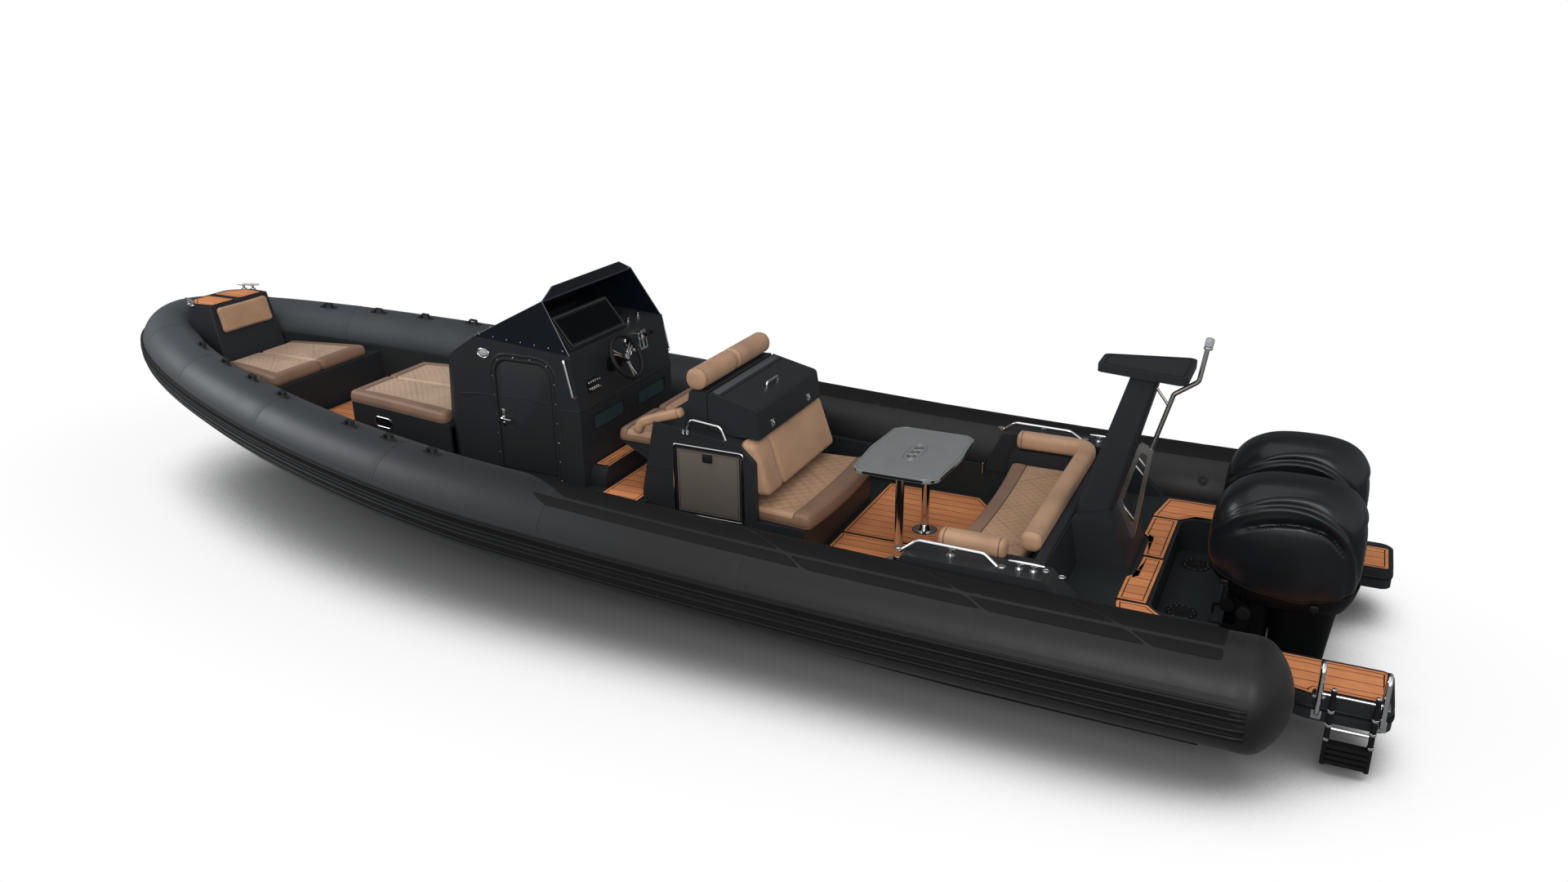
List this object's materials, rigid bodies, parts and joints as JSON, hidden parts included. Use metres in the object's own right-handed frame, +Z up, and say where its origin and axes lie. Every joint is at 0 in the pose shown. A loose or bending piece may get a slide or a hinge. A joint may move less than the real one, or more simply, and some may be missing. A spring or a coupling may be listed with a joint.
{
  "type": "rigid inflatable boat",
  "caption": "Inflatable rib boat with a vee hull, round collar, console with windscreen, padded seats, table, mast and two tilting outboard engines",
  "frame": {"origin": "centreline amidships on the waterline", "axes": "+X to the bow, +Y to port, +Z up"},
  "size_m": [10.3279, 3.4446, 2.9296],
  "materials": {
    "tube_fabric": "satin coated fabric",
    "strake_rubber": "matt",
    "patch_rubber": "ribbed, matt",
    "gelcoat_dark": "gelcoat, gloss",
    "teak": "planked with dark seams",
    "leather": "quilted",
    "stainless": "polished",
    "brushed": "brushed",
    "black_plastic": "fine grain",
    "black_gloss": "gloss paint",
    "engine_metal": "satin paint",
    "prop_steel": "cast and polished",
    "glass_dark": "tinted",
    "display": "glass front",
    "table_dark": "satin laminate",
    "wheel_trim": "padded rim, light hub"
  },
  "bodies": {
    "boat": {"armrests": "leather", "bench_backrests": "leather", "bench_cushion": "leather", "bow_cushions": "leather", "bow_locker": "gelcoat_dark", "bow_module": "gelcoat_dark", "bow_pad": "leather", "bow_teak": "teak", "clamp_brackets": "engine_metal", "cleats": "stainless", "collar": "tube_fabric", "console": "gelcoat_dark", "console_rails": "stainless", "console_windows": "glass_dark", "dash_panels": "display", "front_cushions": "leather", "galley_rails": "stainless", "grab_handles": "strake_rubber", "helm_backrests": "leather", "helm_module": "gelcoat_dark", "helm_seats": "leather", "hull": "gelcoat_dark", "ladder_hoops": "stainless", "mast_frame": "stainless", "mast_pillar": "gelcoat_dark", "mast_wing": "black_gloss", "platform_teak": "teak", "rub_strakes": "strake_rubber", "seat_box": "gelcoat_dark", "sole_teak": "teak", "stern_backrest": "leather", "stern_cushion": "leather", "stern_handrails": "stainless", "stern_moulding": "gelcoat_dark", "stern_teak": "teak", "swim_platforms": "gelcoat_dark", "table_legs": "stainless", "table_top": "table_dark", "throttle": "black_plastic", "tow_pole": "stainless", "wear_patches": "patch_rubber", "wheel_mount": "black_plastic", "windscreen": "glass_dark"},
    "port_swivel": {"port_swivel_bracket": "engine_metal"},
    "port_engine": {"port_engine_leg": "engine_metal", "port_engine_cowl": "black_gloss"},
    "port_prop": {"port_propeller": "prop_steel"},
    "stbd_swivel": {"stbd_swivel_bracket": "engine_metal"},
    "stbd_engine": {"stbd_engine_leg": "engine_metal", "stbd_engine_cowl": "black_gloss"},
    "stbd_prop": {"stbd_propeller": "prop_steel"},
    "wheel": {"steering_wheel": "wheel_trim"},
    "cabin_door": {"console_door": "gelcoat_dark"},
    "fridge": {"fridge_drawer": "brushed"},
    "lid": {"galley_lid": "gelcoat_dark", "lid_handle": "stainless"},
    "boarding_ladder": {"ladder": "stainless"}
  },
  "joints": [
    {"name": "port_tilt", "type": "hinge", "parent": "boat", "child": "port_swivel", "pos_m": [-4.65, 0.37, 0.52], "axis": [0, 1, 0], "range_deg": [0, 60]},
    {"name": "port_steer", "type": "hinge", "parent": "port_swivel", "child": "port_engine", "pos_m": [-4.74, 0.37, 0.3], "axis": [0, 0, 1], "range_deg": [-30, 30]},
    {"name": "port_prop_spin", "type": "hinge", "parent": "port_engine", "child": "port_prop", "pos_m": [-5.12, 0.37, -0.7], "axis": [1, 0, 0], "continuous": true},
    {"name": "stbd_tilt", "type": "hinge", "parent": "boat", "child": "stbd_swivel", "pos_m": [-4.65, -0.37, 0.52], "axis": [0, 1, 0], "range_deg": [0, 60]},
    {"name": "stbd_steer", "type": "hinge", "parent": "stbd_swivel", "child": "stbd_engine", "pos_m": [-4.74, -0.37, 0.3], "axis": [0, 0, 1], "range_deg": [-30, 30]},
    {"name": "stbd_prop_spin", "type": "hinge", "parent": "stbd_engine", "child": "stbd_prop", "pos_m": [-5.12, -0.37, -0.7], "axis": [1, 0, 0], "continuous": true},
    {"name": "steering_wheel_turn", "type": "hinge", "parent": "boat", "child": "wheel", "pos_m": [-0.235, 0.17, 1.472], "axis": [0.8829, 0, -0.4695], "range_deg": [-720, 720]},
    {"name": "console_door_swing", "type": "hinge", "parent": "boat", "child": "cabin_door", "pos_m": [0.12, 0.655, 1.06], "axis": [0, 0, 1], "range_deg": [0, 50]},
    {"name": "fridge_slide", "type": "slide", "parent": "boat", "child": "fridge", "axis": [0, 1, 0], "range_m": [0, 0.38]},
    {"name": "galley_lid_lift", "type": "hinge", "parent": "boat", "child": "lid", "pos_m": [-1.09, 0, 1.411], "axis": [0, 1, 0], "range_deg": [0, 75]},
    {"name": "ladder_swing", "type": "hinge", "parent": "boat", "child": "boarding_ladder", "pos_m": [-5.2825, 1.172, 0.47], "axis": [1, 0, 0], "range_deg": [0, 262]}
  ],
  "couplings": [
    {"joint": "stbd_steer", "follows": "port_steer", "ratio": 1},
    {"joint": "steering_wheel_turn", "follows": "port_steer", "ratio": 24}
  ]
}
